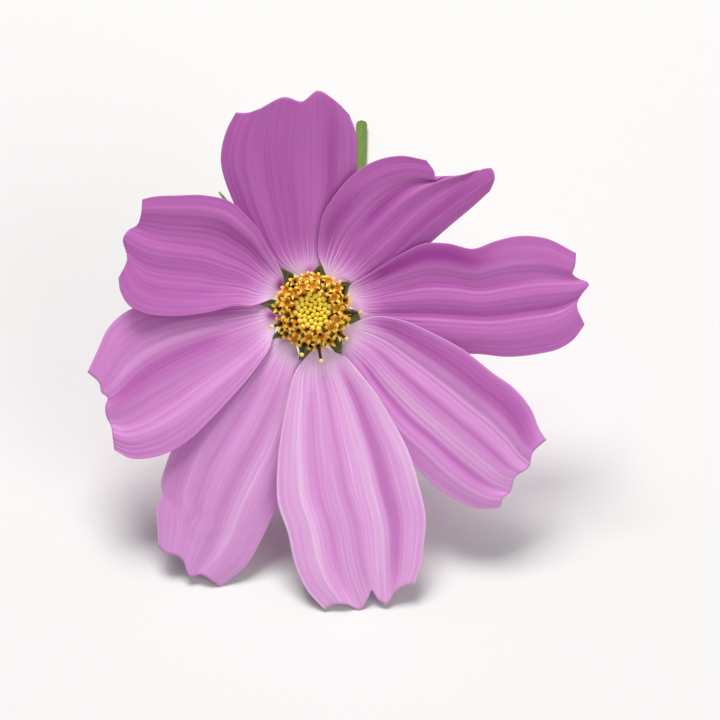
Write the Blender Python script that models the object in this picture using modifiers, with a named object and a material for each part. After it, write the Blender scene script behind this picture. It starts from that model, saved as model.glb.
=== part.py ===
"""Cosmos flower, picked with its stalk and laid down on its petals and stalk.

Lengths are millimetres until a mesh is made, where MM turns them to metres.
The head is drawn in its own frame: +Z is the axis that the disc faces along,
and an azimuth turns anticlockwise from +X as the face is looked at. The left
margin of a petal or bract is the one on its anticlockwise side.
"""

import math
from dataclasses import dataclass

import bmesh
import bpy
import numpy as np

MM = 0.001

# Where the head lies. The disc faces up and forward, towards -Y.
HEAD_TILT = math.radians(45.0)
HEAD_PLACE = (-4.0, -22.2, 32.1)

# Ray florets: a narrow claw on the receptacle, then the broad lamina.
PETAL_THICKNESS = 0.4
PETAL_COLUMNS = 10
LAMINA_ROWS = 13
CLAW_PROFILE = ((4.95, -5.4), (4.98, -3.0), (5.03, -1.5), (5.12, -0.6), (5.45, -0.15))
CLAW_HALF_WIDTHS = (0.5, 0.5, 0.55, 0.6, 0.75)
LAMINA_BASE = ((6.0, 1.0), (6.9, 2.2))
MARGIN_POWER = 2.2
PLEATS = 3
PLEAT_HEIGHT = 0.22
PLEAT_START, PLEAT_FULL = 8.0, 22.0

# How far a margin stands above the middle of its petal, by radius: a margin
# that lies over its neighbour is raised, and one that lies under it is lowered.
OVER = ((6, 0.0), (8, 0.5), (12, 0.9), (25, 1.0), (48, 0.5))
UNDER = ((6, 0.0), (8, -0.45), (12, -0.75), (25, -0.7), (48, -0.3))

# Involucre: two rings of eight bracts, round the receptacle.
BRACT_THICKNESS = 0.35
INNER_BRACT_AZIMUTHS = (122, 81, 37, -5, -55, -105, -146, 173)
INNER_BRACT_TIPS = (7.4, 7.0, 6.9, 7.0, 8.1, 8.1, 7.4, 8.0)
INNER_BRACT_PROFILE = (
    (3.3, -8.15), (4.75, -7.35), (5.65, -6.2), (5.8, -4.5), (5.75, -2.5),
    (5.78, -1.2), (5.84, -0.4), (6.0, 0.35), (6.45, 1.0),
)
INNER_BRACT_HALF_WIDTHS = (0.95, 1.45, 1.8, 1.85, 1.85, 1.6, 1.05, 0.72, 0.5)
INNER_BRACT_TIP_HEIGHT = 1.5
OUTER_BRACT_FIRST_AZIMUTH = 128
OUTER_BRACT_LENGTHS = (24.6, 15.0, 13.5, 14.5, 16.0, 15.5, 13.0, 16.5)
OUTER_BRACT_RISE = ((1.7, -9.0), (3.6, -8.85), (6.0, -8.4), (10.0, -7.6), (18.0, -6.0), (25.0, -4.8))
OUTER_BRACT_BASE_HALF_WIDTH = 0.45
OUTER_BRACT_HALF_WIDTH = 1.25
OUTER_BRACT_ROWS = 8
BRACT_COLUMNS = 4
BRACT_POINT = 0.06

# Receptacle and the cushion of unopened florets, as turned profiles.
RECEPTACLE_PROFILE = (
    (0, -5.4), (3.0, -5.45), (5.0, -5.8), (5.15, -6.1), (4.4, -6.9),
    (2.9, -7.7), (1.6, -8.3), (1.25, -9.0), (0, -9.0),
)
CUSHION_PROFILE = (
    (0, 2.3), (1.4, 2.25), (2.2, 1.95), (2.58, 1.4), (2.45, 0.6),
    (2.3, -0.5), (2.3, -5.1), (0, -5.1),
)
TURNED_STEPS = 24

# Open disc florets: a ring is a count, the centre line of one as radius and
# height, its radii, and the azimuth of the first.
OUTER_RING = (
    18,
    ((4.0, -5.25), (4.05, -2.0), (4.15, -0.2), (4.45, 0.9), (4.95, 1.7), (5.35, 2.25)),
    (0.35, 0.35, 0.36, 0.5, 0.6, 0.5),
    0.0,
)
SECOND_RING = (
    14,
    ((3.0, -5.1), (3.02, -1.0), (3.1, 0.6), (3.35, 1.7), (3.7, 2.4), (4.0, 2.9)),
    (0.35, 0.35, 0.37, 0.48, 0.56, 0.46),
    7.0,
)

# Stalk: centre line from below the head to its cut end, on the surface.
STEM_RADII = (1.1, 1.0)
STEM_TOP = -9.3
STEM_STRAIGHT = -15.0
STEM_ROUTE = (
    (-3.3, -3.4, 15.0), (-2.4, 4.6, 8.4), (-1.0, 13.4, 3.6), (0.9, 23.0, 1.5),
    (2.6, 33.0, 1.05), (3.6, 45.0, 1.05), (3.9, 57.7, 1.05),
)
STEM_POINTS = 24


@dataclass(frozen=True)
class Petal:
    """One ray floret. Outline points are (along, across) from the disc's axis,
    in the petal's own direction, with across positive on the left; heights are
    (radius, height) pairs."""

    name: str
    azimuth: float
    claw_azimuth: float
    left_margin: tuple
    tip: tuple
    right_margin: tuple
    middle: tuple
    left_rise: tuple
    right_rise: tuple


PETALS = (
    Petal(
        "top", 97, 101.5,
        ((8.7, 5.6), (11.5, 7.4), (15.2, 9.0), (20, 10.7), (26, 11.5), (30.5, 9.9), (32.9, 8.2)),
        ((32.9, 8.2), (32.6, 6.4), (32.9, 4.7), (34.3, 0.0), (33.3, -2.4), (34.7, -5.2), (33.1, -7.4),
         (30.3, -9.7)),
        ((8, -3.6), (11.5, -5.6), (15.5, -7.8), (19, -9.2), (23, -10.0), (27.8, -10.3), (30.3, -9.7)),
        ((6, 0.05), (10, 0.5), (20, 1.6), (34, 4.2)),
        UNDER, UNDER,
    ),
    Petal(
        "upper_right", 48, 59,
        ((7, 4.9), (9.5, 7.2), (12.5, 9.0), (16, 9.7), (20, 9.8), (24, 8.8), (27.8, 6.1), (30, 2.6)),
        ((30, 2.6), (29.5, 0.4), (28.7, -0.6), (31, -2.2), (33.4, -3.9), (36, -6.1), (35.5, -7.1),
         (33.2, -8.2)),
        ((8, -3.4), (12, -5.2), (16, -6.2), (20, -6.6), (25, -7.2), (30, -7.9), (33.2, -8.2)),
        ((6, 0.05), (10, 0.5), (20, 1.6), (36, 3.4)),
        OVER, UNDER,
    ),
    Petal(
        "right", 5, 16.5,
        ((8, 4.4), (11.4, 6.1), (15, 7.9), (18.7, 9.2), (22.4, 8.9), (26.5, 7.7), (30, 8.6), (33.9, 9.1),
         (38, 8.4), (42.7, 5.6)),
        ((42.7, 5.6), (42.3, 3.4), (41.9, 2.5), (44.3, 0.3), (43.4, -0.6), (42.2, -2.5), (43.1, -5.9)),
        ((8, -3.6), (12, -5.6), (17, -7.6), (22, -8.7), (26, -9.1), (30.2, -9.9), (35.1, -9.9),
         (38.9, -9.3), (41, -8.2), (43.1, -5.9)),
        ((6, 0.05), (10, 0.5), (20, 1.4), (32, 1.9), (44, 1.6)),
        OVER, UNDER,
    ),
    Petal(
        "lower_right", -37, -31,
        ((8.5, 5.4), (12, 7.4), (17, 8.7), (23, 9.6), (29, 9.5), (33, 9.6), (37.4, 8.5), (40.3, 6.8),
         (42.2, 6.1)),
        ((42.2, 6.1), (41.7, 3.1), (42.6, 1.0), (41.8, -1.6), (42.6, -4.1), (42.3, -5.5), (42.7, -6.7),
         (42.2, -7.6)),
        ((8, -3.4), (12, -5.2), (17, -7.6), (22.7, -9.4), (27.7, -9.9), (33.5, -10.5), (37.6, -10.1),
         (40, -9.3), (42.2, -7.6)),
        ((6, 0.05), (10, 0.5), (20, 1.3), (31, 1.5), (43, 0.9)),
        OVER, UNDER,
    ),
    Petal(
        "bottom", -81.5, -80,
        ((8, 4.1), (11, 6.1), (14, 7.9), (18, 9.6), (24.6, 11.9), (30, 12.7), (35, 13.0), (39.3, 12.1),
         (43, 10.9), (45.4, 9.6)),
        ((45.4, 9.6), (45.4, 8.2), (46.0, 6.6), (47.9, 4.6), (45.4, 2.8), (48.2, 0.3), (46.8, -2.3),
         (46.8, -3.8), (47.3, -5.1)),
        ((9, -4.0), (13, -5.8), (18, -7.6), (24, -9.2), (29.7, -9.9), (34, -9.1), (40, -8.6),
         (43.8, -7.4), (47.3, -5.1)),
        ((6, 0.05), (10, 0.6), (20, 1.6), (32, 2.4), (48, 2.5)),
        OVER, OVER,
    ),
    Petal(
        "lower_left", 247, 234.5,
        ((8, 1.5), (12, 4.0), (17, 6.0), (23, 7.2), (28, 7.2), (33, 6.9), (37, 6.7), (41.5, 6.1),
         (46.4, 3.5)),
        ((46.4, 3.5), (45.9, 1.4), (45.8, 0.0), (46.7, -1.4), (44.9, -3.5), (44.5, -4.7), (44.8, -6.6),
         (44.3, -8.0)),
        ((8, -4.9), (12, -6.9), (17, -9.0), (22, -10.8), (27, -12.0), (31.6, -12.0), (35, -11.5),
         (36.7, -10.6), (37.9, -10.8), (41, -9.6), (44.3, -8.0)),
        ((6, 0.05), (10, 0.5), (20, 0.9), (30, 0.6), (46, -0.65)),
        UNDER, UNDER,
    ),
    Petal(
        "left", 205, 193,
        ((8.6, 2.4), (11, 3.9), (14.3, 5.6), (18, 7.2), (22.5, 9.0), (27, 10.4), (32.7, 10.4),
         (36.3, 8.9), (38, 6.7)),
        ((38, 6.7), (37.4, 4.9), (36.9, 1.2), (35.5, -1.3), (36.0, -2.5), (35.7, -3.9), (36.7, -6.4)),
        ((8.3, -5.3), (11, -6.8), (15, -8.9), (19.2, -10.9), (23, -12.2), (27.5, -12.5), (31, -11.2),
         (33.5, -9.1), (36.7, -6.4)),
        ((6, 0.05), (10, 0.5), (20, 1.2), (30, 1.5), (39, 1.2)),
        OVER, UNDER,
    ),
    Petal(
        "upper_left", 161, 148,
        ((9.5, 2.4), (12.3, 3.4), (14.9, 5.1), (18.8, 7.2), (22, 8.4), (25, 9.0), (27.8, 8.6),
         (29.9, 6.8), (30.8, 5.0)),
        ((30.8, 5.0), (30.5, 1.8), (32.2, -1.4), (31.9, -2.6), (30.8, -4.0), (30.7, -5.1), (31.3, -8.0)),
        ((8.4, -5.9), (10.5, -7.7), (12.5, -9.6), (15, -11.0), (17.8, -12.2), (22, -11.9), (26.3, -10.4),
         (29.9, -8.9), (31.3, -8.0)),
        ((6, 0.05), (10, 0.6), (20, 2.0), (32, 3.8)),
        OVER, OVER,
    ),
)


def clear_scene():
    """Start from an empty scene."""
    for obj in list(bpy.data.objects):
        bpy.data.objects.remove(obj, do_unlink=True)


def material(name, colour, roughness):
    """A Principled material with one colour."""
    made = bpy.data.materials.new(name)
    made.use_nodes = True
    shader = made.node_tree.nodes["Principled BSDF"]
    shader.inputs["Base Color"].default_value = (*colour, 1.0)
    shader.inputs["Roughness"].default_value = roughness
    shader.inputs["Metallic"].default_value = 0.0
    return made


def smooth_through(knots, values, x):
    """Read a smooth curve, which passes through values at knots, at x."""
    knots = np.asarray(knots, float)
    values = np.asarray(values, float)
    slopes = np.gradient(values, knots, axis=0)
    x = np.clip(x, knots[0], knots[-1])
    i = np.clip(np.searchsorted(knots, x, side="right") - 1, 0, len(knots) - 2)
    span = knots[i + 1] - knots[i]
    f = (x - knots[i]) / span
    if values.ndim == 2:
        span, f = span[..., None], f[..., None]
    rise = f * f * (3 - 2 * f)
    return (
        values[i] * (1 - rise) + values[i + 1] * rise
        + span * slopes[i] * f * (1 - f) ** 2 - span * slopes[i + 1] * f * f * (1 - f)
    )


def along_points(points, u):
    """Read a smooth curve through points at u, from 0 to 1 of its length."""
    points = np.asarray(points, float)
    steps = np.linalg.norm(np.diff(points, axis=0), axis=1)
    knots = np.concatenate([[0.0], np.cumsum(steps)])
    return smooth_through(knots / knots[-1], points, u)


def height_at(stations, radius):
    """Read (radius, height) stations at each radius."""
    radii, heights = zip(*stations)
    return smooth_through(radii, heights, radius)


def turned(points, degrees):
    """Turn flat (x, y) points about the head's axis."""
    angle = math.radians(degrees)
    x, y = points[..., 0], points[..., 1]
    return np.stack(
        [x * math.cos(angle) - y * math.sin(angle), x * math.sin(angle) + y * math.cos(angle)], axis=-1
    )


def claw_rows(petal, sides):
    """The claw, as rows of points across it from the receptacle to the lamina."""
    rows = []
    for (radius, height), half_width in zip(CLAW_PROFILE, CLAW_HALF_WIDTHS):
        flat = np.stack([np.full_like(sides, radius), -sides * half_width], axis=-1)
        flat = turned(flat, petal.claw_azimuth)
        rows.append(np.column_stack([flat, np.full_like(sides, height)]))
    return np.array(rows)


def lamina_rows(petal, sides):
    """The lamina: a patch between its two margins, pulled out to its toothed tip."""
    lean = petal.claw_azimuth - petal.azimuth
    base = [turned(np.array([LAMINA_BASE[0][0], side * LAMINA_BASE[0][1]]), lean) for side in (1, -1)]
    neck = [turned(np.array([LAMINA_BASE[1][0], side * LAMINA_BASE[1][1]]), lean) for side in (1, -1)]
    s = np.linspace(0.0, 1.0, LAMINA_ROWS)
    left = along_points([base[0], neck[0], *petal.left_margin], s)
    right = along_points([base[1], neck[1], *petal.right_margin], s)
    t = (sides + 1) / 2
    tip = along_points(petal.tip, t)
    chord = (1 - t)[:, None] * left[-1] + t[:, None] * right[-1]
    flat = (
        (1 - t)[None, :, None] * left[:, None] + t[None, :, None] * right[:, None]
        + (s**2)[:, None, None] * (tip - chord)[None]
    )
    radius = np.hypot(flat[..., 0], flat[..., 1])
    rise = np.where(
        sides[None] < 0, height_at(petal.left_rise, radius), height_at(petal.right_rise, radius)
    )
    ramp = np.clip((radius - PLEAT_START) / (PLEAT_FULL - PLEAT_START), 0, 1)
    height = (
        height_at(petal.middle, radius)
        + rise * np.abs(sides[None]) ** MARGIN_POWER
        - PLEAT_HEIGHT * ramp * np.cos(2 * math.pi * PLEATS * t)[None]
    )
    return np.concatenate([turned(flat, petal.azimuth), height[..., None]], axis=-1)


def bract_rows(profile, half_widths, azimuth):
    """A bract bent round the head's axis, as rows of points across it."""
    sides = np.linspace(-1.0, 1.0, BRACT_COLUMNS)
    rows = []
    for (radius, height), half_width in zip(profile, half_widths):
        angle = math.radians(azimuth) - sides * half_width / radius
        rows.append(
            np.stack([radius * np.cos(angle), radius * np.sin(angle), np.full_like(sides, height)], axis=-1)
        )
    return np.array(rows)


def inner_bract(azimuth, tip_radius):
    """An inner bract: a broad erect scale whose point shows between two petals."""
    profile = (*INNER_BRACT_PROFILE, (tip_radius, INNER_BRACT_TIP_HEIGHT))
    return bract_rows(profile, (*INNER_BRACT_HALF_WIDTHS, BRACT_POINT), azimuth)


def outer_bract(azimuth, length):
    """An outer bract: a spreading leaf, widest at a third of its length."""
    u = np.linspace(0.0, 1.0, OUTER_BRACT_ROWS)
    start = OUTER_BRACT_RISE[0][0]
    radii = start + (length - start) * u
    heights = height_at(OUTER_BRACT_RISE, radii)
    swell = np.sin(math.pi * u**0.6)
    half_widths = (
        OUTER_BRACT_BASE_HALF_WIDTH * (1 - u) + (OUTER_BRACT_HALF_WIDTH - 0.3) * swell + BRACT_POINT * u
    )
    return bract_rows(np.column_stack([radii, heights]), half_widths, azimuth)


def finish(obj, collection, surface, head=None):
    """Put an object in the flower's collection, with its material and parent."""
    collection.objects.link(obj)
    obj.data.materials.append(surface)
    obj.parent = head


def add_sheet(name, rows, thickness, surface, collection, head):
    """A thin blade: a grid laid on rows of points, thickened both ways."""
    count, across = rows.shape[:2]
    grid = bmesh.new()
    bmesh.ops.create_grid(grid, x_segments=count - 1, y_segments=across - 1, size=1.0)
    for vert in grid.verts:
        i = round((vert.co.x + 1) / 2 * (count - 1))
        j = round((vert.co.y + 1) / 2 * (across - 1))
        vert.co = rows[i, across - 1 - j] * MM
    mesh = bpy.data.meshes.new(name)
    grid.to_mesh(mesh)
    grid.free()
    mesh.shade_smooth()
    obj = bpy.data.objects.new(name, mesh)
    solid = obj.modifiers.new("Thickness", "SOLIDIFY")
    solid.thickness = thickness * MM
    solid.offset = 0.0
    finish(obj, collection, surface, head)


def add_turned(name, profile, surface, collection, head):
    """A body turned about the head's axis from its outer profile, top to bottom."""
    mesh = bpy.data.meshes.new(name)
    points = [(radius * MM, 0.0, height * MM) for radius, height in profile]
    mesh.from_pydata(points, [(i, i + 1) for i in range(len(points) - 1)], [])
    obj = bpy.data.objects.new(name, mesh)
    screw = obj.modifiers.new("Turn", "SCREW")
    screw.steps = TURNED_STEPS
    screw.render_steps = TURNED_STEPS
    screw.use_merge_vertices = True
    screw.merge_threshold = 0.00001
    finish(obj, collection, surface, head)


def add_tube(name, points, radii, resolution, surface, collection, head=None):
    """A round rod along points, with a radius at each of them."""
    curve = bpy.data.curves.new(name, "CURVE")
    curve.dimensions = "3D"
    curve.bevel_depth = MM
    curve.bevel_resolution = resolution
    curve.use_fill_caps = True
    line = curve.splines.new("POLY")
    line.points.add(len(points) - 1)
    for knot, point, radius in zip(line.points, points, radii):
        knot.co = (*(np.asarray(point) * MM), 1.0)
        knot.radius = radius
    finish(bpy.data.objects.new(name, curve), collection, surface, head)


def add_petals(surface, collection, head):
    """The eight ray florets."""
    sides = np.linspace(-1.0, 1.0, PETAL_COLUMNS)
    for petal in PETALS:
        rows = np.concatenate([claw_rows(petal, sides), lamina_rows(petal, sides)])
        add_sheet(f"petal_{petal.name}", rows, PETAL_THICKNESS, surface, collection, head)


def add_bracts(inner_surface, outer_surface, collection, head):
    """The involucre's inner and outer bracts."""
    for i, (azimuth, tip) in enumerate(zip(INNER_BRACT_AZIMUTHS, INNER_BRACT_TIPS), 1):
        rows = inner_bract(azimuth, tip)
        add_sheet(f"inner_bract_{i}", rows, BRACT_THICKNESS, inner_surface, collection, head)
    for i, length in enumerate(OUTER_BRACT_LENGTHS):
        rows = outer_bract(OUTER_BRACT_FIRST_AZIMUTH - 45 * i, length)
        add_sheet(f"outer_bract_{i + 1}", rows, BRACT_THICKNESS, outer_surface, collection, head)


def add_open_florets(surface, collection, head):
    """The disc's two outer rings of opened florets."""
    number = 0
    for count, profile, radii, first in (OUTER_RING, SECOND_RING):
        for k in range(count):
            number += 1
            angle = math.radians(first + 360 * k / count)
            points = [(r * math.cos(angle), r * math.sin(angle), z) for r, z in profile]
            add_tube(f"open_floret_{number:02d}", points, radii, 1, surface, collection, head)


def add_stem(surface, collection):
    """The stalk: straight out of the head, then curving down to the surface."""
    sine, cosine = math.sin(HEAD_TILT), math.cos(HEAD_TILT)
    x, y, z = HEAD_PLACE
    start = [(x, y - level * sine, z + level * cosine) for level in (STEM_TOP, STEM_STRAIGHT)]
    u = np.linspace(0.0, 1.0, STEM_POINTS)
    points = along_points([*start, *STEM_ROUTE], u)
    radii = np.interp(u, (0.0, 0.5, 1.0), (STEM_RADII[0], STEM_RADII[1], STEM_RADII[1]))
    add_tube("stem", points, radii, 2, surface, collection)


def build():
    """Make the whole flower."""
    clear_scene()
    collection = bpy.data.collections.new("cosmos_flower")
    bpy.context.scene.collection.children.link(collection)
    head = bpy.data.objects.new("head", None)
    head.location = [value * MM for value in HEAD_PLACE]
    head.rotation_euler = (HEAD_TILT, 0.0, 0.0)
    collection.objects.link(head)

    petal_surface = material("petal_tissue", (0.60, 0.22, 0.52), 0.6)
    bud_surface = material("bud_yellow", (0.85, 0.62, 0.05), 0.55)
    floret_surface = material("floret_orange", (0.78, 0.38, 0.03), 0.55)
    inner_surface = material("inner_bract_green", (0.10, 0.12, 0.03), 0.6)
    outer_surface = material("outer_bract_green", (0.28, 0.40, 0.10), 0.6)
    stem_surface = material("stem_green", (0.16, 0.26, 0.06), 0.55)

    add_stem(stem_surface, collection)
    add_turned("receptacle", RECEPTACLE_PROFILE, outer_surface, collection, head)
    add_bracts(inner_surface, outer_surface, collection, head)
    add_petals(petal_surface, collection, head)
    add_turned("young_florets", CUSHION_PROFILE, bud_surface, collection, head)
    add_open_florets(floret_surface, collection, head)


build()
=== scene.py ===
"""Looks of a cosmos flower, picked and laid down on its petals and stalk.

The head is worked out in its own frame, in millimetres: the disc's axis is +Z,
and an azimuth turns anticlockwise from +X as the face is looked at. The left
margin of a petal is the one on its anticlockwise side. Head turns that frame
to the place of the CAD head, in metres.
"""

from __future__ import annotations

import logging
import math
from dataclasses import dataclass, field
from enum import Enum

import bpy
import numpy as np
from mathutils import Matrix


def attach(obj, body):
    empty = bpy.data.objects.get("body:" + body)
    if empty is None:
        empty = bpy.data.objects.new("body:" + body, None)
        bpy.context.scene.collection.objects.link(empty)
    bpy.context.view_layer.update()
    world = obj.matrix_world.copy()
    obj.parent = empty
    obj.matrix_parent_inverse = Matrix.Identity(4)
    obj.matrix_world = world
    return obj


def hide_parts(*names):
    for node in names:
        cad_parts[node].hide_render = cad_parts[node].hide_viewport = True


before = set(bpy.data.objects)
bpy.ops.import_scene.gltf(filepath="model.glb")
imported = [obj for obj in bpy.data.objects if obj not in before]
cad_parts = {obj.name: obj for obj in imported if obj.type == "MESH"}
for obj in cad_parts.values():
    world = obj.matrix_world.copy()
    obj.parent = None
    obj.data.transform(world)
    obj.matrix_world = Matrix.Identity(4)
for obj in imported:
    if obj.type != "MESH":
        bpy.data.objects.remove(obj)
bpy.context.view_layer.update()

LOG = logging.getLogger("cosmos_flower")
MM = 0.001
BODY = "root"

# Disc colours, from the shaded foot of a piece to its lit tip.
BUD_COLOURS = ((0.1, "#8a6c04"), (0.35, "#d9ae0a"), (0.55, "#ffd916"), (0.95, "#fff06a"))
COROLLA_COLOURS = ((0.05, "#8a3c04"), (0.35, "#d98708"), (0.65, "#f8b616"), (1.0, "#ffe36a"))
ANTHER_COLOURS = ((0.1, "#0c0604"), (0.9, "#2c1810"))
POLLEN_COLOURS = ((0.2, "#d98f10"), (0.9, "#ffe27a"))

Points = tuple[tuple[float, float], ...]


class Side(Enum):
    """How a petal's margin lies at its neighbour, as (radius, height above the middle)."""

    OVER = ((6, 0.0), (8, 0.5), (12, 0.9), (25, 1.0), (48, 0.5))
    UNDER = ((6, 0.0), (8, -0.45), (12, -0.75), (25, -0.7), (48, -0.3))


@dataclass(frozen=True)
class Crease:
    """A lengthwise fold in a petal and the light and shade painted along it.

    across runs from 0 at the left margin to 1 at the right, height is in mm,
    the tone deepens the colour where positive, painted shade along a groove and in the
    shadow of a neighbouring petal, and lightens it where negative, a painted highlight
    along a ridge; start and end are radii in mm.
    """

    across: float
    width: float
    height: float
    tone: float
    start: float
    end: float


@dataclass(frozen=True)
class PetalShape:
    """One petal's outline, as (along, across) points, its heights and its folds.

    Its depth of colour is partly its own colour and partly painted shade, deeper on the upper
    petals, which face away from the light; the shade beside the claw is painted shade where
    the petal folds into it.
    """

    name: str
    azimuth: float
    claw_azimuth: float
    left_margin: Points
    tip: Points
    right_margin: Points
    middle: Points
    left: Side
    right: Side
    # partly the petal's own colour, partly painted shade: deeper on the upper petals
    depth: float
    creases: tuple[Crease, ...] = ()
    # painted shade beside the claw, where the petal folds into it
    claw_shade: float = 0.15


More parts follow.
